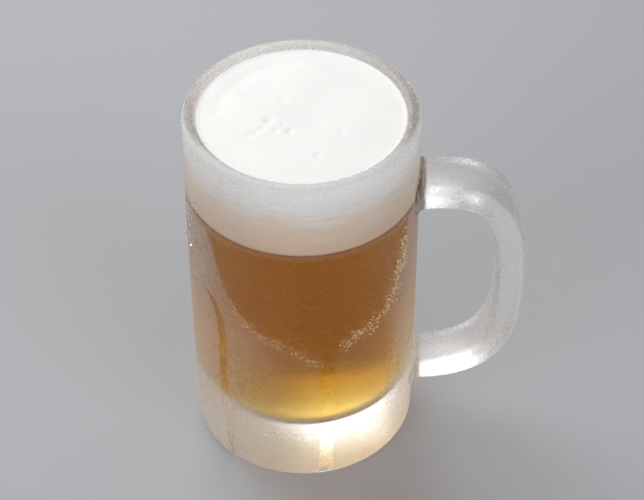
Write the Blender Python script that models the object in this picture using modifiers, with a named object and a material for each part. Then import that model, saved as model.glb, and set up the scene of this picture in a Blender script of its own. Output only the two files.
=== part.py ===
"""Pint of beer in a handled mug of thick glass.

The mug stands on the plane Z = 0 with its axis on Z, and its handle points along +X.
Three solids: the glass with its handle, the beer that fills it, and the head of foam.
"""

import math

import bmesh
import bpy
from mathutils import Vector

OBJECT_NAME = "pint_of_beer"

# Driving dimensions of the glass, in metres
MUG_HEIGHT = 0.1500
RIM_RADIUS = 0.0430
FOOT_RADIUS = 0.0427
BELLY_BULGE = 0.0004
WALL_AT_RIM = 0.0050
WALL_AT_FLOOR = 0.0055
LIP_ROUNDING = 0.0020
FOOT_ROUNDING = 0.0038
FLOOR_THICKNESS = 0.0220
FLOOR_CORNER_RADIUS = 0.0140

# Driving dimensions of the handle, in metres
HANDLE_WIDTH = 0.0208
HANDLE_THICKNESS = 0.0118
HANDLE_EDGE_ROUNDING = 0.0052
HANDLE_REACH = 0.0787
HANDLE_TOP_Z = 0.1153
HANDLE_GRIP_Z = 0.0723
HANDLE_LOW_Z = 0.0237
HANDLE_ROOT_X = 0.0403
HANDLE_LOW_SCALE = 0.87
ROOT_FLARE = 0.12
ROOT_FLARE_LENGTH = 0.0080

# How far the handle's tangents pull its centre line, in metres
TOP_PULL = 0.0193
GRIP_PULL_UP = 0.0485
GRIP_PULL_DOWN = 0.0276
LOW_PULL = 0.0362

# Driving dimensions of the drink, in metres
BEER_LEVEL = 0.1168
FOAM_EDGE_Z = 0.1480
FOAM_DOME = 0.0012
FOAM_EDGE_ROUNDING = 0.0012
CONTACT_GAP = 0.0003

# Facets
TURN_STEPS = 64
ARC_STEPS = 6
WALL_STEPS = 4
DOME_STEPS = 5
HANDLE_STEPS = 32
SECTION_ARC_STEPS = 4
WELD_DISTANCE = 0.00001

# Colours, roughness
GLASS_COLOUR = (0.86, 0.87, 0.87, 1.0)
BEER_COLOUR = (0.62, 0.33, 0.03, 1.0)
FOAM_COLOUR = (0.90, 0.87, 0.82, 1.0)


def clear_scene():
    """Remove every object the scene starts with."""
    for obj in list(bpy.data.objects):
        bpy.data.objects.remove(obj, do_unlink=True)


def new_collection(name):
    """Return a new collection linked to the scene."""
    collection = bpy.data.collections.new(name)
    bpy.context.scene.collection.children.link(collection)
    return collection


def principled(name, colour, roughness, transmission=0.0):
    """Return a material with one Principled BSDF."""
    material = bpy.data.materials.new(name)
    material.use_nodes = True
    material.diffuse_color = colour
    shader = material.node_tree.nodes["Principled BSDF"]
    shader.inputs["Base Color"].default_value = colour
    shader.inputs["Roughness"].default_value = roughness
    shader.inputs["Metallic"].default_value = 0.0
    shader.inputs["Transmission Weight"].default_value = transmission
    return material


def arc(centre, radius, start_deg, end_deg, steps=ARC_STEPS):
    """Points (x, z) on an arc about a centre, both ends included."""
    points = []
    for step in range(steps + 1):
        angle = math.radians(start_deg + (end_deg - start_deg) * step / steps)
        points.append((centre[0] + radius * math.cos(angle), centre[1] + radius * math.sin(angle)))
    return points


def outer_radius(z):
    """Outer radius of the glass at a height: a taper with a slight belly."""
    t = z / MUG_HEIGHT
    return FOOT_RADIUS + (RIM_RADIUS - FOOT_RADIUS) * t + 4.0 * BELLY_BULGE * t * (1.0 - t)


def inner_radius(z):
    """Inner radius of the glass at a height: a straight taper from the rim down to the floor."""
    at_rim = RIM_RADIUS - WALL_AT_RIM
    at_floor = FOOT_RADIUS - WALL_AT_FLOOR
    t = (z - FLOOR_THICKNESS) / (MUG_HEIGHT - FLOOR_THICKNESS)
    return at_floor + (at_rim - at_floor) * t


def cavity_outline(top, gap=0.0):
    """Points (x, z) of the hollow from its floor's centre up to a height, moved inwards by a gap."""
    floor = FLOOR_THICKNESS + gap
    corner = FLOOR_CORNER_RADIUS - gap
    corner_z = floor + corner
    corner_x = inner_radius(corner_z) - gap - corner
    points = [(0.0, floor)]
    points += arc((corner_x, corner_z), corner, -90.0, 0.0)
    points.append((inner_radius(top) - gap, top))
    return points


def turned(name, outline, collection, material=None):
    """Object turned about Z from an outline that runs down its outer side, from axis to axis."""
    mesh = bpy.data.meshes.new(name)
    vertices = [(x, 0.0, z) for x, z in outline]
    mesh.from_pydata(vertices, [(i, i + 1) for i in range(len(vertices) - 1)], [])
    obj = bpy.data.objects.new(name, mesh)
    collection.objects.link(obj)
    screw = obj.modifiers.new("Turn", "SCREW")
    screw.axis = "Z"
    screw.steps = TURN_STEPS
    screw.render_steps = TURN_STEPS
    screw.use_merge_vertices = True
    screw.merge_threshold = WELD_DISTANCE
    screw.use_smooth_shade = True
    if material is not None:
        mesh.materials.append(material)
    return obj


def glass_outline():
    """The glass from the centre of its floor, up inside, over the lip and down to its underside."""
    lip_z = MUG_HEIGHT - LIP_ROUNDING
    points = cavity_outline(lip_z)
    inner_lip = (inner_radius(lip_z) + LIP_ROUNDING, lip_z)
    outer_lip = (outer_radius(lip_z) - LIP_ROUNDING, lip_z)
    points += arc(inner_lip, LIP_ROUNDING, 180.0, 90.0)[1:]
    points += arc(outer_lip, LIP_ROUNDING, 90.0, 0.0)
    for step in range(1, WALL_STEPS + 1):
        z = lip_z + (FOOT_ROUNDING - lip_z) * step / WALL_STEPS
        points.append((outer_radius(z), z))
    foot = (outer_radius(FOOT_ROUNDING) - FOOT_ROUNDING, FOOT_ROUNDING)
    points += arc(foot, FOOT_ROUNDING, 0.0, -90.0)[1:]
    points.append((0.0, 0.0))
    return points


def bezier(p0, p1, p2, p3, t):
    """Point on a cubic Bezier arc."""
    s = 1.0 - t
    return p0 * s ** 3 + p1 * (3.0 * s * s * t) + p2 * (3.0 * s * t * t) + p3 * t ** 3


def handle_centre_line():
    """The handle's centre line: one arc out and down to the grip, one arc back in to the foot."""
    top = Vector((HANDLE_ROOT_X, 0.0, HANDLE_TOP_Z))
    grip = Vector((HANDLE_REACH, 0.0, HANDLE_GRIP_Z))
    low = Vector((HANDLE_ROOT_X, 0.0, HANDLE_LOW_Z))
    out = Vector((1.0, 0.0, 0.0))
    up = Vector((0.0, 0.0, 1.0))
    upper = (top, top + out * TOP_PULL, grip + up * GRIP_PULL_UP, grip)
    lower = (grip, grip - up * GRIP_PULL_DOWN, low + out * LOW_PULL, low)
    half = HANDLE_STEPS // 2
    points = [bezier(*upper, step / half) for step in range(half)]
    points += [bezier(*lower, step / half) for step in range(half + 1)]
    return points


def handle_scales(points):
    """Scale of the handle's section at each point: thinner downwards, flared at both roots."""
    lengths = [0.0]
    for previous, point in zip(points, points[1:]):
        lengths.append(lengths[-1] + (point - previous).length)
    total = lengths[-1]
    scales = []
    for length in lengths:
        scale = 1.0 + (HANDLE_LOW_SCALE - 1.0) * length / total
        to_root = min(length, total - length)
        flare = max(0.0, 1.0 - to_root / ROOT_FLARE_LENGTH)
        scales.append(scale * (1.0 + ROOT_FLARE * flare * flare))
    return scales


def handle_section(collection):
    """Closed flat outline of the handle's section, a rectangle with well rounded corners."""
    across = HANDLE_WIDTH / 2.0 - HANDLE_EDGE_ROUNDING
    through = HANDLE_THICKNESS / 2.0 - HANDLE_EDGE_ROUNDING
    points = []
    for quarter, (sx, sy) in enumerate(((1, 1), (-1, 1), (-1, -1), (1, -1))):
        centre = (sx * across, sy * through)
        start = quarter * 90.0
        points += arc(centre, HANDLE_EDGE_ROUNDING, start, start + 90.0, SECTION_ARC_STEPS)
    curve = bpy.data.curves.new("handle_section", "CURVE")
    curve.dimensions = "2D"
    spline = curve.splines.new("POLY")
    spline.points.add(len(points) - 1)
    for target, (x, y) in zip(spline.points, points):
        target.co = (x, y, 0.0, 1.0)
    spline.use_cyclic_u = True
    obj = bpy.data.objects.new("handle_section", curve)
    collection.objects.link(obj)
    obj.hide_render = True
    obj.display_type = "WIRE"
    return obj


def handle_solid(collection):
    """The handle as one closed mesh, its two ends buried in the wall of the glass."""
    points = handle_centre_line()
    scales = handle_scales(points)
    curve = bpy.data.curves.new("handle_path", "CURVE")
    curve.dimensions = "3D"
    curve.twist_mode = "MINIMUM"
    curve.bevel_mode = "OBJECT"
    curve.bevel_object = handle_section(collection)
    curve.use_fill_caps = True
    spline = curve.splines.new("POLY")
    spline.points.add(len(points) - 1)
    for target, point, scale in zip(spline.points, points, scales):
        target.co = (*point, 1.0)
        target.radius = scale
    path = bpy.data.objects.new("handle_path", curve)
    collection.objects.link(path)

    bpy.context.view_layer.update()
    graph = bpy.context.evaluated_depsgraph_get()
    mesh = bpy.data.meshes.new_from_object(path.evaluated_get(graph))
    bm = bmesh.new()
    bm.from_mesh(mesh)
    bmesh.ops.remove_doubles(bm, verts=bm.verts, dist=WELD_DISTANCE)
    bmesh.ops.recalc_face_normals(bm, faces=bm.faces)
    bm.to_mesh(mesh)
    bm.free()
    obj = bpy.data.objects.new("handle_solid", mesh)
    obj.matrix_world = path.matrix_world
    collection.objects.link(obj)
    obj.hide_render = True
    obj.display_type = "WIRE"
    bpy.data.objects.remove(path, do_unlink=True)
    return obj


def make_glass(collection, tools):
    """The glass: a turned body with its handle fused on."""
    glass = turned("glass_mug", glass_outline(), collection,
                   principled("frosted_glass", GLASS_COLOUR, 0.35, transmission=0.9))
    fuse = glass.modifiers.new("Handle", "BOOLEAN")
    fuse.operation = "UNION"
    fuse.solver = "EXACT"
    fuse.object = handle_solid(tools)
    return glass


def make_beer(collection):
    """The beer, from just above the floor of the glass up to the foam."""
    top = BEER_LEVEL - CONTACT_GAP / 2.0
    outline = cavity_outline(top, CONTACT_GAP)
    outline.append((0.0, top))
    outline.reverse()
    return turned("beer", outline, collection, principled("beer", BEER_COLOUR, 0.05))


def foam_outline():
    """The head of foam: a flat underside on the beer and a gently domed top with a soft edge."""
    bottom = BEER_LEVEL + CONTACT_GAP / 2.0
    edge_z = FOAM_EDGE_Z - FOAM_EDGE_ROUNDING
    radius = inner_radius(FOAM_EDGE_Z) - CONTACT_GAP
    flat = radius - FOAM_EDGE_ROUNDING
    points = []
    for step in range(DOME_STEPS):
        x = flat * step / DOME_STEPS
        points.append((x, FOAM_EDGE_Z + FOAM_DOME * (1.0 - (x / flat) ** 2)))
    points += arc((flat, edge_z), FOAM_EDGE_ROUNDING, 90.0, 0.0, SECTION_ARC_STEPS)
    points.append((inner_radius(bottom) - CONTACT_GAP, bottom))
    points.append((0.0, bottom))
    return points


def make_foam(collection):
    """The head of foam."""
    return turned("foam", foam_outline(), collection, principled("beer_foam", FOAM_COLOUR, 0.7))


def main():
    clear_scene()
    parts = new_collection(OBJECT_NAME)
    tools = new_collection("tools")
    make_glass(parts, tools)
    make_beer(parts)
    make_foam(parts)


main()
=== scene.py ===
# %% [markdown]
# # A pint of beer in a frosted mug
#
# The object is a straight mug of thick glass, fresh from the freezer, filled with lager under a deep
# head of foam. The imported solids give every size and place. This script makes what the solids leave
# plain: clear glass that bends light, beer that colours it by depth, foam, and the film of frost that
# has started to melt.

# %% Load the frame
import math

import bmesh
import bpy
import numpy as np
from mathutils import Matrix, Vector


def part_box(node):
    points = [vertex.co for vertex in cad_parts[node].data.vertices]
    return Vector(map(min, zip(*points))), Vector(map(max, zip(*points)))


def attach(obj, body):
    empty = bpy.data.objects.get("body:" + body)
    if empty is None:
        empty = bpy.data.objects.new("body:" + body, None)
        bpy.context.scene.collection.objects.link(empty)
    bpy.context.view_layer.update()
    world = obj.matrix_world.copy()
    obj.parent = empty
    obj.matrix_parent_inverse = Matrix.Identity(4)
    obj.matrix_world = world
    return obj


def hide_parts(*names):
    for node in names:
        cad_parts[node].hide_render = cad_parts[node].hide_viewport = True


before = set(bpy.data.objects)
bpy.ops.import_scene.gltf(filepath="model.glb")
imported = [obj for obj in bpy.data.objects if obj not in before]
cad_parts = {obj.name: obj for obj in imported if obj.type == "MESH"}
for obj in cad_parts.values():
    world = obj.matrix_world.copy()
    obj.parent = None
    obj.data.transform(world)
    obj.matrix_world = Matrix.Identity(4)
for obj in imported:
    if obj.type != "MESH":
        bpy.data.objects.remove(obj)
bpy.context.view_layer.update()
print("nodes:", sorted(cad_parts))

# %% [markdown]
# Sizes come from the frame where it knows them. The glass node's box gives the height, and the foam and beer boxes
# give the floor inside and the two levels. The radii and the wall's own thickness are inside the node, so they are
# named here, with the roundings of lip and foot.

# %% Sizes of the mug
MM = 0.001
glass_low, glass_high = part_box("glass_mug")
foam_low, foam_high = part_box("foam")
beer_low, beer_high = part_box("beer")
CONTACT_GAP = 0.3 * MM

HEIGHT = glass_high.z
FLOOR_TOP = beer_low.z - CONTACT_GAP
BEER_LEVEL = (beer_high.z + foam_low.z) / 2
FOAM_TOP = foam_high.z
FOAM_DOME = 1.2 * MM
FOAM_EDGE = FOAM_TOP - FOAM_DOME

RIM_RADIUS = 43.0 * MM
FOOT_RADIUS = 42.7 * MM
BELLY_BULGE = 0.4 * MM
WALL_AT_RIM = 5.0 * MM
WALL_AT_FLOOR = 5.5 * MM
LIP_ROUNDING = 2.0 * MM
FOOT_ROUNDING = 3.8 * MM
FLOOR_CORNER = 14.0 * MM
print("height %.1f mm, floor %.1f mm, beer to %.1f mm, foam to %.1f mm"
      % (HEIGHT / MM, FLOOR_TOP / MM, BEER_LEVEL / MM, FOAM_TOP / MM))


# %% [markdown]
# The camera looks down at 44 degrees from in front of the mug, with the handle to its right. It aims
# at the pixel where the middle of the mug's axis lies in the photograph, and a long lens keeps the
# sides nearly parallel.

# %% Camera
FRAME_WIDTH, FRAME_HEIGHT = 644, 500
SENSOR = 36.0
CAMERA_ELEVATION = math.radians(43.66)
CAMERA_DISTANCE = 0.8284
CAMERA_ROLL = math.radians(-0.60)
FOCAL_PIXELS = 2170.0
AIM_PIXEL = (303.0, 262.9)


def camera_turn():
    """Camera axes: a level view of the aim point, then turned so that the point falls on its pixel.

    The view's yaw and pitch are the angles whose tangents are the pixel's offsets from the middle of
    the frame over the focal length in pixels. The roll is about the view's own axis.
    """
    back = Vector((0, -math.cos(CAMERA_ELEVATION), math.sin(CAMERA_ELEVATION)))
    across = (AIM_PIXEL[0] - FRAME_WIDTH / 2) / FOCAL_PIXELS
    upward = -(AIM_PIXEL[1] - FRAME_HEIGHT / 2) / FOCAL_PIXELS
    right = Vector((1, 0, 0))
    up = back.cross(right)
    yaw = math.atan(across)
    pitch = math.atan(upward * math.cos(yaw))
    view = Matrix.Rotation(yaw, 3, up) @ -back
    right = Matrix.Rotation(yaw, 3, up) @ right
    view = Matrix.Rotation(-pitch, 3, right) @ view
    up = right.cross(view)
    rolled_right = right * math.cos(CAMERA_ROLL) + up * math.sin(CAMERA_ROLL)
    rolled_up = up * math.cos(CAMERA_ROLL) - right * math.sin(CAMERA_ROLL)
    return back, Matrix((rolled_right, rolled_up, -view)).transposed()


def make_camera():
    """Camera on a sphere about the middle of the mug's axis."""
    back, turn = camera_turn()
    data = bpy.data.cameras.new("photo_camera")
    data.sensor_width = SENSOR
    data.lens = FOCAL_PIXELS * SENSOR / FRAME_WIDTH
    data.clip_start = 0.05
    camera = bpy.data.objects.new("photo_camera", data)
    place = Vector((0, 0, HEIGHT / 2)) + back * CAMERA_DISTANCE
    camera.matrix_world = Matrix.Translation(place) @ turn.to_4x4()
    bpy.context.scene.collection.objects.link(camera)
    bpy.context.scene.camera = camera
    return camera


camera = make_camera()
print("camera at", [round(v, 3) for v in camera.matrix_world.translation], "lens %.0f mm" % camera.data.lens)


# %% [markdown]
# Frost only reads as frost in soft light: a large key from behind on the left, as in the photograph,
# makes the film and the beer glow, and a wide fill and a bright room light keep the near side open.
# The floor is pale and plain, a little darker than the foam, so that the foam stays the lightest thing.

# %% Floor and light
FLOOR_COLOUR = (0.42, 0.425, 0.44, 1)
FLOOR_HALF = 3.0
FLOOR_DROP = 0.2 * MM
ROOM_COLOUR = (0.93, 0.96, 1.0, 1)
ROOM_STRENGTH = 0.28


def make_floor():
    """Pale matt floor just under the mug's foot."""
    rows = np.array([(-1, -1), (1, -1), (1, 1), (-1, 1)]) * FLOOR_HALF
    mesh = bpy.data.meshes.new("floor")
    mesh.from_pydata([(x, y, -FLOOR_DROP) for x, y in rows], [], [(0, 1, 2, 3)])
    floor = bpy.data.objects.new("floor", mesh)
    bpy.context.scene.collection.objects.link(floor)
    material = bpy.data.materials.new("floor_paint")
    material.use_nodes = True
    shader = material.node_tree.nodes["Principled BSDF"]
    shader.inputs["Base Color"].default_value = FLOOR_COLOUR
    shader.inputs["Roughness"].default_value = 0.7
    mesh.materials.append(material)
    return floor


def make_lamp(name, place, aim, size, power, colour=(1, 1, 1)):
    """Square area lamp of a side, at a place, turned to face a point."""
    data = bpy.data.lights.new(name, "AREA")
    data.shape = "SQUARE"
    data.size = size
    data.energy = power
    data.color = colour
    lamp = bpy.data.objects.new(name, data)
    turn = (Vector(aim) - Vector(place)).to_track_quat("-Z", "Y")
    lamp.matrix_world = Matrix.Translation(place) @ turn.to_matrix().to_4x4()
    bpy.context.scene.collection.objects.link(lamp)
    return lamp


def make_room():
    """Even room light from all around."""
    world = bpy.data.worlds.new("studio")
    world.use_nodes = True
    background = world.node_tree.nodes["Background"]
    background.inputs["Color"].default_value = ROOM_COLOUR
    background.inputs["Strength"].default_value = ROOM_STRENGTH
    bpy.context.scene.world = world


floor = make_floor()
make_room()
middle = (0, 0, HEIGHT / 2)
make_lamp("back_key", (-0.35, 0.80, 1.10), middle, 0.8, 8.5)
make_lamp("back_side", (-0.95, 0.85, 0.9), middle, 0.9, 4.0)
make_lamp("back_low", (-0.30, 1.45, 0.50), middle, 0.9, 2.2)
make_lamp("top_front", (0, -0.6, 1.3), middle, 0.9, 1.0)
make_lamp("front_left", (-1.0, -1.0, 0.8), middle, 0.9, 7.0)
make_lamp("front_right", (1.0, -1.0, 0.8), middle, 0.9, 7.5)
bpy.context.scene.view_settings.view_transform = "Standard"
bpy.context.scene.cycles.max_bounces = 24
bpy.context.scene.cycles.transmission_bounces = 20
bpy.context.scene.cycles.transparent_max_bounces = 40


# %% [markdown]
# Every piece starts as whole arrays of points. Two helpers turn arrays into meshes: one takes rings of
# points, closed round and from ring to ring, with a pole or a flat cap at each end. The mug's body,
# the beer and the foam are such rings about Z, and the handle is rings along a path.

# %% Mesh helpers
def mesh_object(name, points, faces, smooth=True):
    """Object from an array of points and lists of faces, with its normals turned outwards."""
    mesh = bpy.data.meshes.new(name)
    mesh.from_pydata(points.tolist(), [], faces)
    work = bmesh.new()
    work.from_mesh(mesh)
    bmesh.ops.recalc_face_normals(work, faces=work.faces)
    work.to_mesh(mesh)
    work.free()
    if smooth:
        mesh.shade_smooth()
    obj = bpy.data.objects.new(name, mesh)
    bpy.context.scene.collection.objects.link(obj)
    return obj


def ring_faces(rings, steps, first=0):
    """Quads between neighbouring rings, each ring's last point joined to its first."""
    ring, step = np.meshgrid(np.arange(rings - 1), np.arange(steps), indexing="ij")
    here = first + ring * steps + step
    beside = first + ring * steps + (step + 1) % steps
    quads = np.stack([here, beside, beside + steps, here + steps], -1)
    return quads.reshape(-1, 4).tolist()


def ringed_body(name, rings, start, end):
    """Closed body from an array of rings (ring, step, xyz), shut by a fan to a point at each end."""
    count, steps = rings.shape[:2]
    points = np.concatenate([rings.reshape(-1, 3), [start], [end]])
    faces = ring_faces(count, steps)
    around = np.arange(steps)
    beside = (around + 1) % steps
    last = (count - 1) * steps
    faces += np.stack([beside, around, np.full(steps, count * steps)], -1).tolist()
    faces += np.stack([around + last, beside + last, np.full(steps, count * steps + 1)], -1).tolist()
    return mesh_object(name, points, faces)


def turned_rings(profile, steps):
    """Rings about Z: each point (x, z) of the profile is carried round by the cosine and sine."""
    angle = np.linspace(0, 2 * np.pi, steps, endpoint=False)
    x, z = profile[:, :1], profile[:, 1:]
    return np.stack([x * np.cos(angle), x * np.sin(angle), z + 0 * angle], -1)


def arc(centre, radius, start, end, steps):
    """Points (x, z) on an arc: the centre plus the radius times cosine and sine of even angles."""
    angle = np.radians(np.linspace(start, end, steps + 1))
    return np.stack([centre[0] + radius * np.cos(angle), centre[1] + radius * np.sin(angle)], -1)


def line(start, end, steps):
    """Even points from just after a start to an end."""
    share = np.linspace(0, 1, steps + 1)[1:, None]
    return np.asarray(start) * (1 - share) + np.asarray(end) * share


print("helpers ready")


# %% [markdown]
# The glass is one piece: a turned body and a swept handle, joined. The body's profile runs from the
# middle of the floor inside, up the inner wall, over the round lip, down the slightly bellied outside
# and round the foot. The same radii as the solid keep it inside the solid's box, and far more steps
# keep it round where it bends light.

# %% Profile of the body
def outer_radius(z):
    """Outer radius at a height: a straight taper plus a parabola that bulges the belly."""
    t = z / HEIGHT
    return FOOT_RADIUS + (RIM_RADIUS - FOOT_RADIUS) * t + 4 * BELLY_BULGE * t * (1 - t)


def inner_radius(z):
    """Inner radius at a height: a straight taper between the wall's two thicknesses."""
    t = (z - FLOOR_TOP) / (HEIGHT - FLOOR_TOP)
    return FOOT_RADIUS - WALL_AT_FLOOR + (RIM_RADIUS - WALL_AT_RIM - FOOT_RADIUS + WALL_AT_FLOOR) * t


def cavity_profile(top, grow=0.0, steps=60):
    """The hollow from near the axis out along its floor, round its corner and up to a height.

    A positive grow moves the outline out into the glass by that much.
    """
    corner = FLOOR_CORNER + grow
    middle_z = FLOOR_TOP - grow + corner
    middle_x = inner_radius(middle_z) + grow - corner
    floor_line = line((1 * MM, FLOOR_TOP - grow), (middle_x, FLOOR_TOP - grow), 12)[:-1]
    round_part = arc((middle_x, middle_z), corner, -90, 0, 24)
    height = line((0, middle_z), (0, top), steps)[:, 1]
    wall = np.stack([inner_radius(height) + grow, height], -1)
    return np.concatenate([floor_line, round_part, wall])


def outside_profile(grow=0.0, steps=120, lip_steps=16):
    """From the inner edge of the lip over it, down the outside and round the foot to the underside."""
    lip_z = HEIGHT - LIP_ROUNDING
    inner_lip = (inner_radius(lip_z) + LIP_ROUNDING, lip_z)
    outer_lip = (outer_radius(lip_z) - LIP_ROUNDING, lip_z)
    foot = (outer_radius(FOOT_ROUNDING) - FOOT_ROUNDING, FOOT_ROUNDING)
    height = line((0, lip_z), (0, FOOT_ROUNDING), steps)[:, 1]
    wall = np.stack([outer_radius(height) + grow, height], -1)
    return np.concatenate([
        arc(inner_lip, LIP_ROUNDING + grow, 180, 90, lip_steps),
        arc(outer_lip, LIP_ROUNDING + grow, 90, 0, lip_steps),
        wall,
        arc(foot, FOOT_ROUNDING + grow, 0, -90, lip_steps)[1:],
    ])


print("wall %.1f mm at mid height" % ((outer_radius(HEIGHT / 2) - inner_radius(HEIGHT / 2)) / MM))

# %% [markdown]
# The handle's centre line is two cubic Bezier arcs, from the upper root out to the grip and from the
# grip back in to the lower root. Its section is a superellipse, flat on its four sides and well
# rounded between, and it gets thinner downwards. Where it meets the body the section opens like a
# fillet, as hot glass does when a handle is pressed on.

# %% Handle
HANDLE_HALF_WIDTH = 10.4 * MM
HANDLE_HALF_THICKNESS = 5.9 * MM
HANDLE_REACH = 78.7 * MM
HANDLE_TOP_Z = 115.3 * MM
HANDLE_GRIP_Z = 72.3 * MM
HANDLE_LOW_Z = 23.7 * MM
HANDLE_ROOT_X = 40.3 * MM
HANDLE_LOW_SCALE = 0.87
PULL_TOP, PULL_GRIP_UP = 19.3 * MM, 48.5 * MM
PULL_GRIP_DOWN, PULL_LOW = 27.6 * MM, 36.2 * MM
SECTION_POWER = 4.5
ROOT_FILLET = 3.0 * MM


def bezier(p0, p1, p2, p3, steps):
    """Points on a cubic Bezier arc, weighted by the powers of t and 1 - t."""
    t = np.linspace(0, 1, steps + 1)[:, None]
    s = 1 - t
    return p0 * s ** 3 + 3 * p1 * s * s * t + 3 * p2 * s * t * t + p3 * t ** 3


def handle_line(steps):
    """Centre line of the handle in the XZ plane, as points (x, z)."""
    top = np.array([HANDLE_ROOT_X, HANDLE_TOP_Z])
    grip = np.array([HANDLE_REACH, HANDLE_GRIP_Z])
    low = np.array([HANDLE_ROOT_X, HANDLE_LOW_Z])
    out, up = np.array([1.0, 0]), np.array([0, 1.0])
    upper = bezier(top, top + out * PULL_TOP, grip + up * PULL_GRIP_UP, grip, steps)
    lower = bezier(grip, grip - up * PULL_GRIP_DOWN, low + out * PULL_LOW, low, steps)
    return np.concatenate([upper, lower[1:]])


def handle_rings(grow=0.0, steps=90, around=64):
    """Rings of a superellipse along the centre line, opened by a fillet near the body's wall.

    Each ring lies across the line: one axis is Y and the other is the line's own normal. Within a
    fillet's reach of the wall a point moves out by r - sqrt(r * r - e * e), e being how far inside
    that reach it lies.
    """
    centre = handle_line(steps)
    tangent = np.gradient(centre, axis=0)
    tangent /= np.linalg.norm(tangent, axis=1, keepdims=True)
    normal = np.stack([-tangent[:, 1], tangent[:, 0]], -1)
    length = np.concatenate([[0], np.cumsum(np.linalg.norm(np.diff(centre, axis=0), axis=1))])
    scale = 1 + (HANDLE_LOW_SCALE - 1) * length / length[-1]
    angle = np.linspace(0, 2 * np.pi, around, endpoint=False)
    power = 2 / SECTION_POWER
    across = np.sign(np.cos(angle)) * np.abs(np.cos(angle)) ** power
    through = np.sign(np.sin(angle)) * np.abs(np.sin(angle)) ** power
    wide = across * (HANDLE_HALF_WIDTH + grow)
    thick = through * (HANDLE_HALF_THICKNESS + grow)
    away = np.stack([across, through], -1)
    away /= np.linalg.norm(away, axis=1, keepdims=True)

    def place(wide, thick):
        x = centre[:, :1] + normal[:, :1] * thick
        z = centre[:, 1:] + normal[:, 1:] * thick
        return np.stack([x, wide + 0 * x, z], -1)

    bare = place(wide * scale[:, None], thick * scale[:, None])
    off_wall = np.hypot(bare[..., 0], bare[..., 1]) - outer_radius(bare[..., 2])
    inside = np.clip(ROOT_FILLET - off_wall, 0, ROOT_FILLET)
    extra = ROOT_FILLET - np.sqrt(ROOT_FILLET ** 2 - inside ** 2)
    return place(wide * scale[:, None] + away[:, 0] * extra, thick * scale[:, None] + away[:, 1] * extra)


rings = handle_rings()
print("handle reaches x = %.1f mm" % (rings[..., 0].max() / MM))


# %% Join body and handle
def evaluated_copy(obj, name):
    """The object's mesh with its modifiers applied, as a new object; the old one goes."""
    graph = bpy.context.evaluated_depsgraph_get()
    mesh = bpy.data.meshes.new_from_object(obj.evaluated_get(graph))
    mesh.name = name
    made = bpy.data.objects.new(name, mesh)
    bpy.context.scene.collection.objects.link(made)
    bpy.data.objects.remove(obj, do_unlink=True)
    return made


def fused(name, body, handle):
    """Boolean union of body and handle as one closed mesh."""
    join = body.modifiers.new("join", "BOOLEAN")
    join.operation = "UNION"
    join.solver = "EXACT"
    join.object = handle
    bpy.context.view_layer.update()
    made = evaluated_copy(body, name)
    bpy.data.objects.remove(handle, do_unlink=True)
    made.data.shade_smooth()
    return made


def make_handle(name, grow=0.0, steps=90):
    """Handle alone, both ends shut inside the wall."""
    rings = handle_rings(grow, steps)
    return ringed_body(name, rings, rings[0].mean(0), rings[-1].mean(0))


def make_glass():
    """The glass: cavity and outside in one profile, turned, with the handle fused on."""
    profile = np.concatenate([cavity_profile(HEIGHT - LIP_ROUNDING)[:-1], outside_profile()])
    body = ringed_body("glass_body", turned_rings(profile, 256), (0, 0, FLOOR_TOP), (0, 0, 0))
    return fused("mug_glass", body, make_handle("glass_handle"))


mug_glass = make_glass()
print("glass: %d faces" % len(mug_glass.data.polygons))

# %% [markdown]
# Where the frost still sits is a field over the surface, worked out once for any array of points.
# The place on the mug is an angle from the middle of the front, positive towards the handle, and a
# height. Warmed by the pour, the upper front has melted clear down to a U-shaped line. Two runs have
# washed tracks through the film below it. The rest of the mug, its foot, its rim and its handle are
# still white.

# %% Frost field
# Lower edge of the melted window: angle in degrees, height in millimetres
MELT_LINE = np.array([(-60, 128), (-51, 113), (-43.5, 96), (-33, 83), (-17, 75), (3, 68), (13, 63),
                      (18, 72), (29, 75.5), (41, 77), (49, 88), (60, 108), (66, 128)])
MELT_SOFTNESS = 5.0
HANDLE_FROST = 0.34
# Centre lines of the runs: height in millimetres, angle in degrees
DRIP_LINE = np.array([(4, 11.0), (22, 11.4), (45, 11.6), (60, 11.9), (75, 11.9)])
RUNNEL_LINE = np.array([(4, -41.5), (21, -43), (40, -45.4), (65, -44.7), (76, -46.2), (83, -50), (86, -56)])


def mug_place(points):
    """Angle in degrees from the front and height in millimetres of each point."""
    return np.degrees(np.arctan2(points[:, 0], -points[:, 1])), points[:, 2] / MM


def smooth_step(low, high, value):
    """0 below low, 1 above high, and a cubic ease between."""
    t = np.clip((value - low) / (high - low), 0, 1)
    return t * t * (3 - 2 * t)


def track(angle, height, course, half_width, top):
    """1 on a run and 0 off it: the distance from its centre line, in millimetres, through an ease."""
    centre = np.interp(height, course[:, 0], course[:, 1])
    off = np.abs(angle - centre) * np.radians(1) * RIM_RADIUS / MM
    return (1 - smooth_step(half_width - 0.5, half_width + 0.6, off)) * smooth_step(top + 1, top - 1, height)


def patch(angle, height, middle, reach):
    """1 at a patch's middle, easing to 0 as a bell: e to the minus squared distance in its reaches."""
    across = (angle - middle[0]) / reach[0]
    along = (height - middle[1]) / reach[1]
    return np.exp(-across ** 2 - along ** 2)


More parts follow.
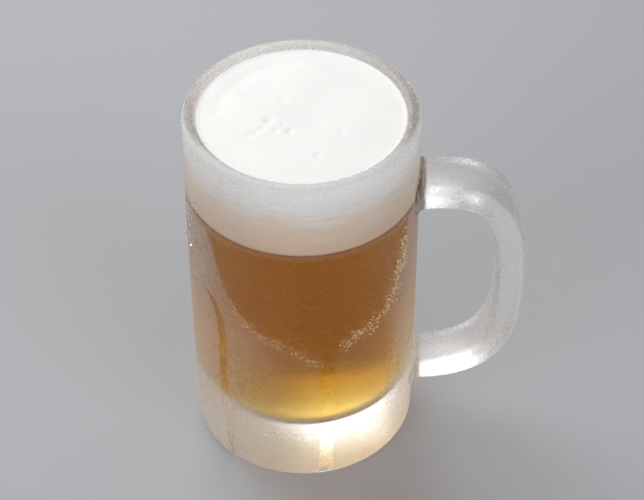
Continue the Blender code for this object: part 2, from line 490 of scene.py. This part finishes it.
def frost_field(points):
    """How much frost is left at each point, from 0 for clear to 1 for white."""
    angle, height = mug_place(points)
    radius = np.hypot(points[:, 0], points[:, 1])
    on_body = 1 - smooth_step(0.5 * MM, 2.5 * MM, radius - outer_radius(points[:, 2]))
    left = 0.50 * smooth_step(-22, -64, angle)
    right = 0.50 * smooth_step(40, 66, angle)
    cover = 0.10 + np.maximum(left, right)
    cover += 0.62 * smooth_step(29, 17, height) * (1 - cover)
    cover += 0.26 * patch(angle, height, (-32, 64), (15, 20)) * (1 - cover)
    melt = np.interp(angle, MELT_LINE[:, 0], MELT_LINE[:, 1], left=160, right=160)
    window = smooth_step(melt - MELT_SOFTNESS, melt + MELT_SOFTNESS, height) * smooth_step(118, 116, height)
    drip = track(angle, height, DRIP_LINE, 2.6, 76)
    runnel = track(angle, height, RUNNEL_LINE, 1.9, 86)
    cover *= 1 - np.maximum(window, np.maximum(drip, runnel))
    band = smooth_step(116, 118.5, height)
    cover = cover * (1 - band) + band * (0.12 + 0.40 * smooth_step(136, 149, height))
    return np.clip(cover * on_body + HANDLE_FROST * (1 - on_body), 0, 1)


def store_field(obj, name, values):
    """Keep one number for each point of a mesh, where its material can read it."""
    layer = obj.data.attributes.new(name, "FLOAT", "POINT")
    layer.data.foreach_set("value", values.astype(np.float32))


def mesh_points(obj):
    """All points of a mesh as an array."""
    flat = np.zeros(len(obj.data.vertices) * 3)
    obj.data.vertices.foreach_get("co", flat)
    return flat.reshape(-1, 3)


store_field(mug_glass, "frost", frost_field(mesh_points(mug_glass)))
print("frost on the glass: mean %.2f" % frost_field(mesh_points(mug_glass)).mean())


# %% [markdown]
# Small helpers make the node trees readable: one adds a node with its settings, one wires sockets.

# %% Node helpers
def add_node(tree, kind, **settings):
    """New node of a kind; settings are its properties, and inputs by name where they are sockets."""
    node = tree.nodes.new(kind)
    for key, value in settings.items():
        if hasattr(node, key):
            setattr(node, key, value)
        else:
            node.inputs[key.replace("_", " ")].default_value = value
    return node


def new_material(name):
    """Empty material and its node tree, with an output node."""
    material = bpy.data.materials.new(name)
    material.use_nodes = True
    tree = material.node_tree
    tree.nodes.clear()
    return material, tree, tree.nodes.new("ShaderNodeOutputMaterial")


def math_node(tree, operation, first, second=None, clamp=False):
    """Math node on sockets or plain numbers; returns its output."""
    node = tree.nodes.new("ShaderNodeMath")
    node.operation = operation
    node.use_clamp = clamp
    for socket, value in zip(node.inputs, (first, second)):
        if value is None:
            continue
        if isinstance(value, (int, float)):
            socket.default_value = value
        else:
            tree.links.new(value, socket)
    return node.outputs[0]


def remap(tree, value, low, high, to_low=0.0, to_high=1.0):
    """Linear remap of a socket from one range to another, clamped."""
    node = tree.nodes.new("ShaderNodeMapRange")
    tree.links.new(value, node.inputs["Value"])
    node.inputs["From Min"].default_value = low
    node.inputs["From Max"].default_value = high
    node.inputs["To Min"].default_value = to_low
    node.inputs["To Max"].default_value = to_high
    return node.outputs["Result"]


def let_light_through(tree, shader):
    """Mix that lets lamp light pass a clear shader unbent, so that what is behind it is lit."""
    path = tree.nodes.new("ShaderNodeLightPath")
    passing = tree.nodes.new("ShaderNodeBsdfTransparent")
    mix = tree.nodes.new("ShaderNodeMixShader")
    either = math_node(tree, "MAXIMUM", path.outputs["Is Shadow Ray"], path.outputs["Is Diffuse Ray"])
    tree.links.new(either, mix.inputs[0])
    tree.links.new(shader, mix.inputs[1])
    tree.links.new(passing.outputs[0], mix.inputs[2])
    return mix.outputs[0]


print("node helpers ready")

# %% [markdown]
# Frost is grainy at two scales: crystals of about half a millimetre, and clumps of a few millimetres.
# One node group gives both as a value from 0 to 1, and the glass, the film and the ice all use it.

# %% Frost grain group
def frost_grain_group():
    """Group: fine and coarse noise on object coordinates, mixed into one grain value."""
    group = bpy.data.node_groups.new("frost_grain", "ShaderNodeTree")
    group.interface.new_socket("Fine Scale", in_out="INPUT", socket_type="NodeSocketFloat").default_value = 1800
    group.interface.new_socket("Clump Scale", in_out="INPUT", socket_type="NodeSocketFloat").default_value = 300
    group.interface.new_socket("Grain", in_out="OUTPUT", socket_type="NodeSocketFloat")
    group.interface.new_socket("Clumps", in_out="OUTPUT", socket_type="NodeSocketFloat")
    inside = group.nodes.new("NodeGroupInput")
    out = group.nodes.new("NodeGroupOutput")
    where = group.nodes.new("ShaderNodeTexCoord")
    fine = add_node(group, "ShaderNodeTexNoise", Detail=2.0, Roughness=0.6)
    clump = add_node(group, "ShaderNodeTexNoise", Detail=3.0, Roughness=0.55)
    for noise, scale in ((fine, "Fine Scale"), (clump, "Clump Scale")):
        group.links.new(where.outputs["Object"], noise.inputs["Vector"])
        group.links.new(inside.outputs[scale], noise.inputs["Scale"])
    group.links.new(remap(group, fine.outputs["Fac"], 0.3, 0.7), out.inputs["Grain"])
    group.links.new(remap(group, clump.outputs["Fac"], 0.3, 0.7), out.inputs["Clumps"])
    return group


frost_grain = frost_grain_group()


def add_grain(tree, fine=1800.0, clump=300.0):
    """Place the grain group in a material with its own scales; returns the grain and clump values."""
    node = tree.nodes.new("ShaderNodeGroup")
    node.node_tree = frost_grain
    node.inputs["Fine Scale"].default_value = fine
    node.inputs["Clump Scale"].default_value = clump
    return node.outputs["Grain"], node.outputs["Clumps"]


print("group:", frost_grain.name)


# %% [markdown]
# The glass itself is clear with an index of 1.5. Under frost its surface is etched: roughness follows
# the frost field, and the grain tilts the surface a little, so that the beer behind it blurs.

# %% Glass material
GLASS_COLOUR = (0.99, 0.995, 0.99, 1)


def wet_glass_material():
    """Smooth clear glass against beer or foam, where almost nothing is sent back."""
    material, tree, out = new_material("wetted_glass")
    shader = add_node(tree, "ShaderNodeBsdfPrincipled")
    shader.inputs["Base Color"].default_value = GLASS_COLOUR
    shader.inputs["Roughness"].default_value = 0.02
    shader.inputs["IOR"].default_value = 1.5
    shader.inputs["Specular Tint"].default_value = (0, 0, 0, 1)
    shader.inputs["Transmission Weight"].default_value = 1.0
    tree.links.new(let_light_through(tree, shader.outputs[0]), out.inputs["Surface"])
    return material


def wet_faces(obj):
    """Faces of the glass that the drink touches: inside the cavity and below the foam's edge."""
    flat = np.zeros(len(obj.data.polygons) * 3)
    obj.data.polygons.foreach_get("center", flat)
    centre = flat.reshape(-1, 3)
    radius = np.hypot(centre[:, 0], centre[:, 1])
    inside = (radius < inner_radius(centre[:, 2]) + 0.5 * MM) & (centre[:, 2] < FOAM_EDGE)
    return inside & (centre[:, 2] > FLOOR_TOP - 0.5 * MM)


def glass_material():
    """Clear glass whose roughness and relief follow the frost left on it."""
    material, tree, out = new_material("etched_glass")
    shader = add_node(tree, "ShaderNodeBsdfPrincipled")
    shader.inputs["Base Color"].default_value = GLASS_COLOUR
    shader.inputs["Transmission Weight"].default_value = 1.0
    shader.inputs["IOR"].default_value = 1.5
    field = add_node(tree, "ShaderNodeAttribute", attribute_name="frost")
    grain, clumps = add_grain(tree)
    frost = field.outputs["Fac"]
    etched = remap(tree, frost, 0.0, 0.22)
    rough = math_node(tree, "MULTIPLY", etched, remap(tree, clumps, 0, 1, 0.20, 0.34))
    tree.links.new(math_node(tree, "ADD", rough, 0.02), shader.inputs["Roughness"])
    bump = add_node(tree, "ShaderNodeBump", Distance=0.0001)
    bump.inputs["Strength"].default_value = 0.3
    tree.links.new(math_node(tree, "MULTIPLY", grain, etched), bump.inputs["Height"])
    tree.links.new(bump.outputs[0], shader.inputs["Normal"])
    tree.links.new(let_light_through(tree, shader.outputs[0]), out.inputs["Surface"])
    return material


def dress(obj, material, slot, *nodes):
    """Give a piece its material and body, and hide the CAD nodes that it stands for; the slot is not used."""
    obj.data.materials.clear()
    obj.data.materials.append(material)
    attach(obj, "root")
    if nodes:
        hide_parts(*nodes)


dress(mug_glass, glass_material(), "frosted_glass", "glass_mug")
mug_glass.data.materials.append(wet_glass_material())
wet = wet_faces(mug_glass)
mug_glass.data.polygons.foreach_set("material_index", wet.astype(np.int32))
print("glass dressed: %d of %d faces are wetted by the drink" % (wet.sum(), len(wet)))


# %% [markdown]
# The beer reaches a tenth of a millimetre into the wall, so that light goes from glass to beer with
# no air between. Its colour is not paint: a volume absorbs blue quickly, green slowly and red least,
# so a long way through it looks amber and a short way looks gold.

# %% Beer
INTO_WALL = 0.1 * MM
BEER_DENSITY = 75.0
BEER_PASSES = (0.90, 0.735, 0.0, 1)


def make_beer():
    """Beer up to just inside the foam."""
    profile = cavity_profile(BEER_LEVEL + INTO_WALL, INTO_WALL)
    rings = turned_rings(profile, 192)
    return ringed_body("beer_fill", rings, (0, 0, profile[0, 1]), (0, 0, profile[-1, 1]))


def beer_material():
    """Water-clear drink that absorbs by depth."""
    material, tree, out = new_material("lager")
    shader = add_node(tree, "ShaderNodeBsdfPrincipled")
    shader.inputs["Base Color"].default_value = (1, 1, 1, 1)
    shader.inputs["Roughness"].default_value = 0.0
    shader.inputs["IOR"].default_value = 1.333
    shader.inputs["Specular Tint"].default_value = (0, 0, 0, 1)
    shader.inputs["Transmission Weight"].default_value = 1.0
    depth = tree.nodes.new("ShaderNodeVolumeAbsorption")
    depth.inputs["Color"].default_value = BEER_PASSES
    depth.inputs["Density"].default_value = BEER_DENSITY
    tree.links.new(let_light_through(tree, shader.outputs[0]), out.inputs["Surface"])
    tree.links.new(depth.outputs[0], out.inputs["Volume"])
    return material


beer_fill = make_beer()
dress(beer_fill, beer_material(), "beer", "beer")
print("beer: %d faces" % len(beer_fill.data.polygons))

# %% [markdown]
# The foam is a dense mass of tiny bubbles. Its top swells slightly, has soft lumps and a few open
# pits, and rises at its edge where it clings to the glass. Its side lies flat on the wall and shows
# through it.

# %% Foam shape
# Place (x, y), reach and depth of each pit, in millimetres
FOAM_PITS = ((-12.0, -3.9, 1.7, 1.1), (-14.1, -7.7, 1.2, 0.7), (-16.3, -9.9, 1.1, 0.6), (-18.7, -11.0, 1.3, 0.5),
             (-9.5, -9.5, 1.4, 0.5), (-6.7, -6.7, 1.0, 0.4), (-4.2, -9.5, 1.5, 0.8), (5.6, -22.7, 1.3, 0.8),
             (-6.7, 7.8, 1.8, 0.5), (14.0, -11.0, 1.2, 0.4))


def wave_sum(x, y, seed, wavelengths, count=5):
    """Smooth uneven field: a sum of sine waves in seeded directions, longest strongest."""
    draw = np.random.default_rng(seed)
    total = np.zeros_like(x)
    for wavelength in wavelengths:
        for turn, shift in zip(draw.uniform(0, np.pi, count), draw.uniform(0, 2 * np.pi, count)):
            along = x * np.cos(turn) + y * np.sin(turn)
            total += wavelength * np.sin(2 * np.pi * along / wavelength + shift)
    return total / (count * sum(wavelengths))


def foam_height(x, y, radius):
    """Height of the foam's top over a point: dome, lumps and pits, with a raised, rounded edge."""
    r = np.hypot(x, y) / radius
    dome = FOAM_DOME * (1 - r ** 2)
    lumps = 1.2 * MM * wave_sum(x, y, 7, (30 * MM, 17 * MM)) * (1 - r ** 6)
    turn = np.degrees(np.arctan2(y, x))
    valley = 0.55 * MM * np.exp(-((r - 0.80) / 0.07) ** 2) * smooth_step(65, 110, turn) * smooth_step(200, 170, turn)
    cling = 0.3 * MM * smooth_step(0.95, 1.0, r)
    height = FOAM_EDGE + dome + lumps - valley + cling
    for px, py, size, depth in FOAM_PITS:
        off = np.hypot(x - px * MM, y - py * MM) / (size * MM)
        height -= depth * MM * np.exp(-off ** 2)
    return height


def make_foam():
    """Foam as rings: the top from its middle out, then down the wall and in under it."""
    radius = inner_radius(FOAM_EDGE) + INTO_WALL
    steps = 256
    out = np.concatenate([np.linspace(0.01, 0.9, 60), np.linspace(0.91, 1, 14)]) * radius
    angle = np.linspace(0, 2 * np.pi, steps, endpoint=False)
    x, y = out[:, None] * np.cos(angle), out[:, None] * np.sin(angle)
    top = np.stack([x, y, foam_height(x, y, radius)], -1)
    height = np.linspace(FOAM_EDGE - 0.2 * MM, BEER_LEVEL, 40)
    side = turned_rings(np.stack([inner_radius(height) + INTO_WALL, height], -1), steps)
    rings = np.concatenate([top, side])
    return ringed_body("foam_head", rings, (0, 0, top[0, :, 2].mean()), (0, 0, BEER_LEVEL))


foam_head = make_foam()
print("foam: %d faces, top at %.2f mm" % (len(foam_head.data.polygons), mesh_points(foam_head)[:, 2].max() / MM))


# %% [markdown]
# Foam looks white because light wanders among its bubbles; here it is a matt white surface. Fine bubbles are relief.
# Down the side its colour is painted beige: painted shade where less light comes in and a painted glow of the beer
# from below, with faint level streaks where the bubbles have settled.

# %% Foam material
# Share of the way down the side, and the colour there: painted shade and painted beer glow, darker and warmer
# downwards
FOAM_SIDE_PAINTED_SHADE = ((0.02, (0.94, 0.93, 0.90, 1)), (0.25, (0.90, 0.88, 0.86, 1)), (0.60, (0.74, 0.60, 0.48, 1)),
               (0.98, (0.68, 0.46, 0.31, 1)))


def foam_material():
    """White foam with bubble relief; down its side painted shade and painted beer glow make it beige, streaked."""
    material, tree, out = new_material("foam_bubbles")
    where = tree.nodes.new("ShaderNodeTexCoord")
    split = tree.nodes.new("ShaderNodeSeparateXYZ")
    tree.links.new(where.outputs["Object"], split.inputs[0])
    depth = remap(tree, split.outputs["Z"], FOAM_EDGE, BEER_LEVEL)
    stretch = add_node(tree, "ShaderNodeMapping")
    stretch.inputs["Scale"].default_value = (60, 60, 900)
    tree.links.new(where.outputs["Object"], stretch.inputs["Vector"])
    streaks = add_node(tree, "ShaderNodeTexNoise", Scale=1.0, Detail=4.0)
    tree.links.new(stretch.outputs[0], streaks.inputs["Vector"])
    shade = math_node(tree, "ADD", depth, math_node(tree, "MULTIPLY", remap(
        tree, streaks.outputs["Fac"], 0.3, 0.7, -0.5, 0.5), 0.22), clamp=True)
    # The ramp paints shade and the beer's glow into the side's colour, darker and warmer downwards.
    ramp = tree.nodes.new("ShaderNodeValToRGB")
    for place, colour in FOAM_SIDE_PAINTED_SHADE:
        stop = ramp.color_ramp.elements.new(place)
        stop.color = colour
    ramp.color_ramp.elements.remove(ramp.color_ramp.elements[-1])
    ramp.color_ramp.elements.remove(ramp.color_ramp.elements[0])
    tree.links.new(shade, ramp.inputs[0])
    shader = add_node(tree, "ShaderNodeBsdfPrincipled", Roughness=0.75)
    tree.links.new(ramp.outputs[0], shader.inputs["Base Color"])
    bubbles = add_node(tree, "ShaderNodeTexVoronoi", Scale=1400.0)
    tree.links.new(where.outputs["Object"], bubbles.inputs["Vector"])
    bump = add_node(tree, "ShaderNodeBump", Distance=0.0002)
    bump.inputs["Strength"].default_value = 0.25
    tree.links.new(bubbles.outputs["Distance"], bump.inputs["Height"])
    tree.links.new(bump.outputs[0], shader.inputs["Normal"])
    tree.links.new(shader.outputs[0], out.inputs["Surface"])
    return material


dress(foam_head, foam_material(), "foam", "foam")
print("foam dressed")


# %% [markdown]
# The frost that whitens the glass is a film of ice dust on it: a closed skin a twentieth of a
# millimetre outside the glass, see-through where the field says clear. It goes over the lip, down
# inside to below the foam's edge, and round the handle. Its underside is fully clear.

# %% Frost film shape
FILM_OFF = 0.05 * MM
FILM_INNER_END = FOAM_EDGE - 4 * MM


def make_film():
    """Skin just outside the glass, from inside the foam over the lip and down to the foot."""
    height = line((0, FILM_INNER_END), (0, HEIGHT - LIP_ROUNDING), 10)[:, 1]
    inner = np.stack([inner_radius(height) - FILM_OFF, height], -1)
    outside = outside_profile(FILM_OFF, 150)
    outside[:, 1] = np.maximum(outside[:, 1], 0.05 * MM)
    profile = np.concatenate([inner[:-1], outside])
    rings = turned_rings(profile, 360)
    body = ringed_body("film_body", rings, (0, 0, FILM_INNER_END), (0, 0, 0.05 * MM))
    return fused("frost_film", body, make_handle("film_handle", FILM_OFF, 110))


frost_film = make_film()
film_points = mesh_points(frost_film)
store_field(frost_film, "frost", frost_field(film_points) * smooth_step(0.1 * MM, 0.4 * MM, film_points[:, 2]))
print("film: %d faces" % len(frost_film.data.polygons))


# %% Frost film material
FILM_COLOUR = (0.95, 0.93, 0.92, 1)
FILM_COVER = 0.6
FILM_THROUGH = 0.5


def film_material():
    """White ice dust that both sends back and lets through light; its cover is the frost field in grains."""
    material, tree, out = new_material("frost_dust")
    field = add_node(tree, "ShaderNodeAttribute", attribute_name="frost")
    grain, clumps = add_grain(tree)
    speckle = math_node(tree, "MULTIPLY", remap(tree, grain, 0, 1, 0.75, 1.25), remap(tree, clumps, 0, 1, 0.9, 1.1))
    cover = math_node(tree, "MULTIPLY", speckle, math_node(tree, "MULTIPLY", field.outputs["Fac"], FILM_COVER), clamp=True)
    bump = add_node(tree, "ShaderNodeBump", Distance=0.0003)
    bump.inputs["Strength"].default_value = 0.5
    tree.links.new(grain, bump.inputs["Height"])
    front = add_node(tree, "ShaderNodeBsdfPrincipled", Roughness=0.65)
    front.inputs["Base Color"].default_value = FILM_COLOUR
    through = add_node(tree, "ShaderNodeBsdfTranslucent", Color=FILM_COLOUR)
    tree.links.new(bump.outputs[0], front.inputs["Normal"])
    dust = add_node(tree, "ShaderNodeMixShader")
    dust.inputs[0].default_value = FILM_THROUGH
    tree.links.new(front.outputs[0], dust.inputs[1])
    tree.links.new(through.outputs[0], dust.inputs[2])
    clear = add_node(tree, "ShaderNodeBsdfTransparent")
    mix = add_node(tree, "ShaderNodeMixShader")
    tree.links.new(cover, mix.inputs[0])
    tree.links.new(clear.outputs[0], mix.inputs[1])
    tree.links.new(dust.outputs[0], mix.inputs[2])
    tree.links.new(mix.outputs[0], out.inputs["Surface"])
    return material


dress(frost_film, film_material(), "frosted_glass")
print("film dressed")

# %% [markdown]
# Where the film melts it gathers into beads, and where water froze again it stands as crumbs of ice.
# There are thousands, so each is a small closed shape of a few faces, and all beads of a kind are one
# mesh: a template's points are scaled, turned to the surface and moved as one array.

# %% Bead helpers
BEAD_SINK = 0.35


def octahedron():
    """Six points and eight faces."""
    points = np.array([(1, 0, 0), (0, 1, 0), (-1, 0, 0), (0, -1, 0), (0, 0, 1), (0, 0, -1)], float)
    faces = [(0, 1, 4), (1, 2, 4), (2, 3, 4), (3, 0, 4), (1, 0, 5), (2, 1, 5), (3, 2, 5), (0, 3, 5)]
    return points, np.array(faces)


def round_bead(rings=5, steps=10):
    """Ball of rings: points at even angles from pole to pole, closed with a point at each pole."""
    polar = np.linspace(0, np.pi, rings + 2)[1:-1, None]
    around = np.linspace(0, 2 * np.pi, steps, endpoint=False)[None]
    ball = np.stack([np.sin(polar) * np.cos(around), np.sin(polar) * np.sin(around),
                     np.cos(polar) + 0 * around], -1).reshape(-1, 3)
    points = np.concatenate([ball, [(0, 0, 1)], [(0, 0, -1)]])
    quads = np.array(ring_faces(rings, steps))
    triangles = [quads[:, [0, 2, 1]], quads[:, [0, 3, 2]]]
    beside = (np.arange(steps) + 1) % steps
    last = (rings - 1) * steps
    north = np.stack([np.arange(steps), beside, np.full(steps, len(ball))], -1)
    south = np.stack([beside + last, np.arange(steps) + last, np.full(steps, len(ball) + 1)], -1)
    return points, np.concatenate(triangles + [north, south])


def lay_beads(name, template, places, normals, sizes, seed, uneven=0.25, flat=0.7):
    """One mesh of many beads: template points, each jittered, times size, turned to the normal.

    Each bead's own axes are the surface normal, a level direction across it, and their cross
    product, all turned about the normal by a random angle. It sinks a little into the surface.
    """
    draw = np.random.default_rng(seed)
    points, faces = template
    count = len(places)
    level = np.stack([-normals[:, 1], normals[:, 0], 0 * normals[:, 0]], -1)
    level[np.linalg.norm(level, axis=1) < 0.1] = (1, 0, 0)
    level /= np.linalg.norm(level, axis=1, keepdims=True)
    rise = np.cross(normals, level)
    turn = draw.uniform(0, 2 * np.pi, (count, 1))
    first = level * np.cos(turn) + rise * np.sin(turn)
    second = np.cross(normals, first)
    stretch = draw.uniform(1 - uneven, 1 + uneven, (count, 1, 3)) * draw.uniform(
        1 - uneven / 2, 1 + uneven / 2, (count, len(points), 1))
    local = points[None] * stretch * sizes[:, None, None]
    local[..., 2] = local[..., 2] * flat + sizes[:, None] * (flat - BEAD_SINK)
    made = (places[:, None] + local[..., :1] * first[:, None] + local[..., 1:2] * second[:, None]
            + local[..., 2:] * normals[:, None])
    index = faces[None] + (np.arange(count) * len(points))[:, None, None]
    return mesh_object(name, made.reshape(-1, 3), index.reshape(-1, 3).tolist())


def on_wall(angle, height):
    """Points on the mug's outside and their normals, from angles in degrees and heights in mm."""
    turn = np.radians(angle)
    out = np.stack([np.sin(turn), -np.cos(turn), 0 * turn], -1)
    return out * outer_radius(height * MM)[:, None] + np.stack([0 * turn, 0 * turn, height * MM], -1), out


def apart(places, sizes, closeness=0.85):
    """Keep the largest beads, and smaller ones only where they hardly touch a kept one."""
    order = np.argsort(-sizes)
    kept = []
    for one in order:
        gap = np.linalg.norm(places[kept] - places[one], axis=1) if kept else np.array([9.0])
        if np.all(gap > closeness * (sizes[kept] + sizes[one])):
            kept.append(one)
    return np.array(kept)


def along_course(course, count, spread, draw):
    """Random (angle, height) about a course of points, spread by a bell of a width in millimetres."""
    step = np.hypot(np.diff(course[:, 0]) * np.radians(1) * RIM_RADIUS / MM, np.diff(course[:, 1]))
    length = np.concatenate([[0], np.cumsum(step)])
    at = draw.uniform(0, length[-1], count)
    angle = np.interp(at, length, course[:, 0])
    height = np.interp(at, length, course[:, 1])
    off = draw.normal(0, 1, (count, 2)) * spread
    return angle + off[:, 0] / (np.radians(1) * RIM_RADIUS / MM), height + off[:, 1]


print("bead template: %d faces" % len(round_bead()[1]))

# %% [markdown]
# Water beads bend light like little lenses. Ice crumbs are duller and whiter inside, so they are part clear and part
# white. The crumbs on the wall are amber instead: painted glow of the beer shining through them.

# %% Water and ice materials
def water_material(name="meltwater", roughness=0.03):
    """Clear water with a very fine ripple."""
    material, tree, out = new_material(name)
    shader = add_node(tree, "ShaderNodeBsdfPrincipled", Roughness=roughness)
    shader.inputs["Base Color"].default_value = (1, 1, 1, 1)
    shader.inputs["IOR"].default_value = 1.333
    shader.inputs["Transmission Weight"].default_value = 1.0
    grain, clumps = add_grain(tree, 900, 250)
    bump = add_node(tree, "ShaderNodeBump", Distance=0.0002)
    bump.inputs["Strength"].default_value = 0.15
    tree.links.new(clumps, bump.inputs["Height"])
    tree.links.new(bump.outputs[0], shader.inputs["Normal"])
    tree.links.new(let_light_through(tree, shader.outputs[0]), out.inputs["Surface"])
    return material


def ice_material(name, colour, clear):
    """Ice crumbs, part white and part clear, uneven in roughness."""
    material, tree, out = new_material(name)
    shader = add_node(tree, "ShaderNodeBsdfPrincipled")
    shader.inputs["Base Color"].default_value = colour
    shader.inputs["IOR"].default_value = 1.31
    shader.inputs["Transmission Weight"].default_value = clear
    grain, clumps = add_grain(tree, 2500, 700)
    tree.links.new(remap(tree, clumps, 0, 1, 0.08, 0.35), shader.inputs["Roughness"])
    bump = add_node(tree, "ShaderNodeBump", Distance=0.0001)
    bump.inputs["Strength"].default_value = 0.4
    tree.links.new(grain, bump.inputs["Height"])
    tree.links.new(bump.outputs[0], shader.inputs["Normal"])
    tree.links.new(let_light_through(tree, shader.outputs[0]), out.inputs["Surface"])
    return material


meltwater = water_material()
# Amber here is painted glow of the beer behind the crumbs; the ice itself is white and clear.
wall_ice_painted_glow = ice_material("wall_ice_painted_glow", (0.98, 0.82, 0.55, 1), 0.75)
rim_ice = ice_material("rim_ice", (0.93, 0.92, 0.92, 1), 0.6)
print("water and ice ready")


# %% Beads on the wall
LEFT_BEAD_COURSE = np.array([(-70, 119), (-66, 110), (-62, 101), (-61, 92), (-63, 86)])
RIGHT_CRUMB_COURSE = np.array([(59.5, 109.5), (55.4, 98.4), (50.7, 89.4), (46.4, 81.5), (40, 77.5), (33, 75.5),
                               (27.6, 74.5), (19, 72)])
EDGE_CRUMB_COURSE = np.array([(-38, 88), (-31, 80), (-20, 76), (-12, 74), (-5, 70), (2, 67), (8, 64)])


def wall_beads(name, course, count, spread, small, large, seed, template, flat):
    """Beads about a course on the wall, their sizes drawn so that small ones are most common."""
    draw = np.random.default_rng(seed)
    angle, height = along_course(course, count, spread, draw)
    sizes = (small + (large - small) * draw.uniform(0, 1, count) ** 2.5) * MM
    places, normals = on_wall(angle, height)
    kept = apart(places, sizes)
    return lay_beads(name, template, places[kept], normals[kept], sizes[kept], seed, 0.25, flat)


left_beads = wall_beads("left_beads", LEFT_BEAD_COURSE, 420, 3.2, 0.25, 1.25, 11, round_bead(), 0.6)
dress(left_beads, meltwater, "frosted_glass")
right_crumbs = wall_beads("right_crumbs", RIGHT_CRUMB_COURSE, 520, 1.9, 0.15, 0.55, 12, round_bead(3, 6), 0.8)
dress(right_crumbs, wall_ice_painted_glow, "frosted_glass")
edge_crumbs = wall_beads("edge_crumbs", EDGE_CRUMB_COURSE, 420, 1.5, 0.12, 0.34, 13, round_bead(3, 6), 0.8)
dress(edge_crumbs, wall_ice_painted_glow, "frosted_glass")
for beads in (left_beads, right_crumbs, edge_crumbs):
    print("%s: %d faces" % (beads.name, len(beads.data.polygons)))


# %% [markdown]
# The lip is the coldest and driest place, so its frost stands up in coarse grains that roughen even its outline.

# %% Grains on the lip
def lip_grains(count, seed):
    """Grains over the lip: an angle about the axis, and an angle on one of its two roundings."""
    draw = np.random.default_rng(seed)
    turn = draw.uniform(0, 2 * np.pi, count)
    slope = np.radians(draw.uniform(-25, 205, count))
    outer = np.cos(slope) > 0
    lip_z = HEIGHT - LIP_ROUNDING
    centre = np.where(outer, outer_radius(lip_z) - LIP_ROUNDING, inner_radius(lip_z) + LIP_ROUNDING)
    radial = np.stack([np.cos(turn), np.sin(turn), 0 * turn], -1)
    upward = np.array([0, 0, 1.0])
    normals = radial * np.cos(slope)[:, None] + upward * np.sin(slope)[:, None]
    places = radial * centre[:, None] + upward * lip_z + normals * LIP_ROUNDING
    sizes = draw.uniform(0.11, 0.11 + 0.2 * draw.uniform(0, 1, count)) * MM
    return lay_beads("lip_grains", octahedron(), places, normals, sizes, seed, 0.35, 0.9)


lip = lip_grains(5200, 21)
dress(lip, rim_ice, "frosted_glass")
print("%s: %d faces" % (lip.name, len(lip.data.polygons)))
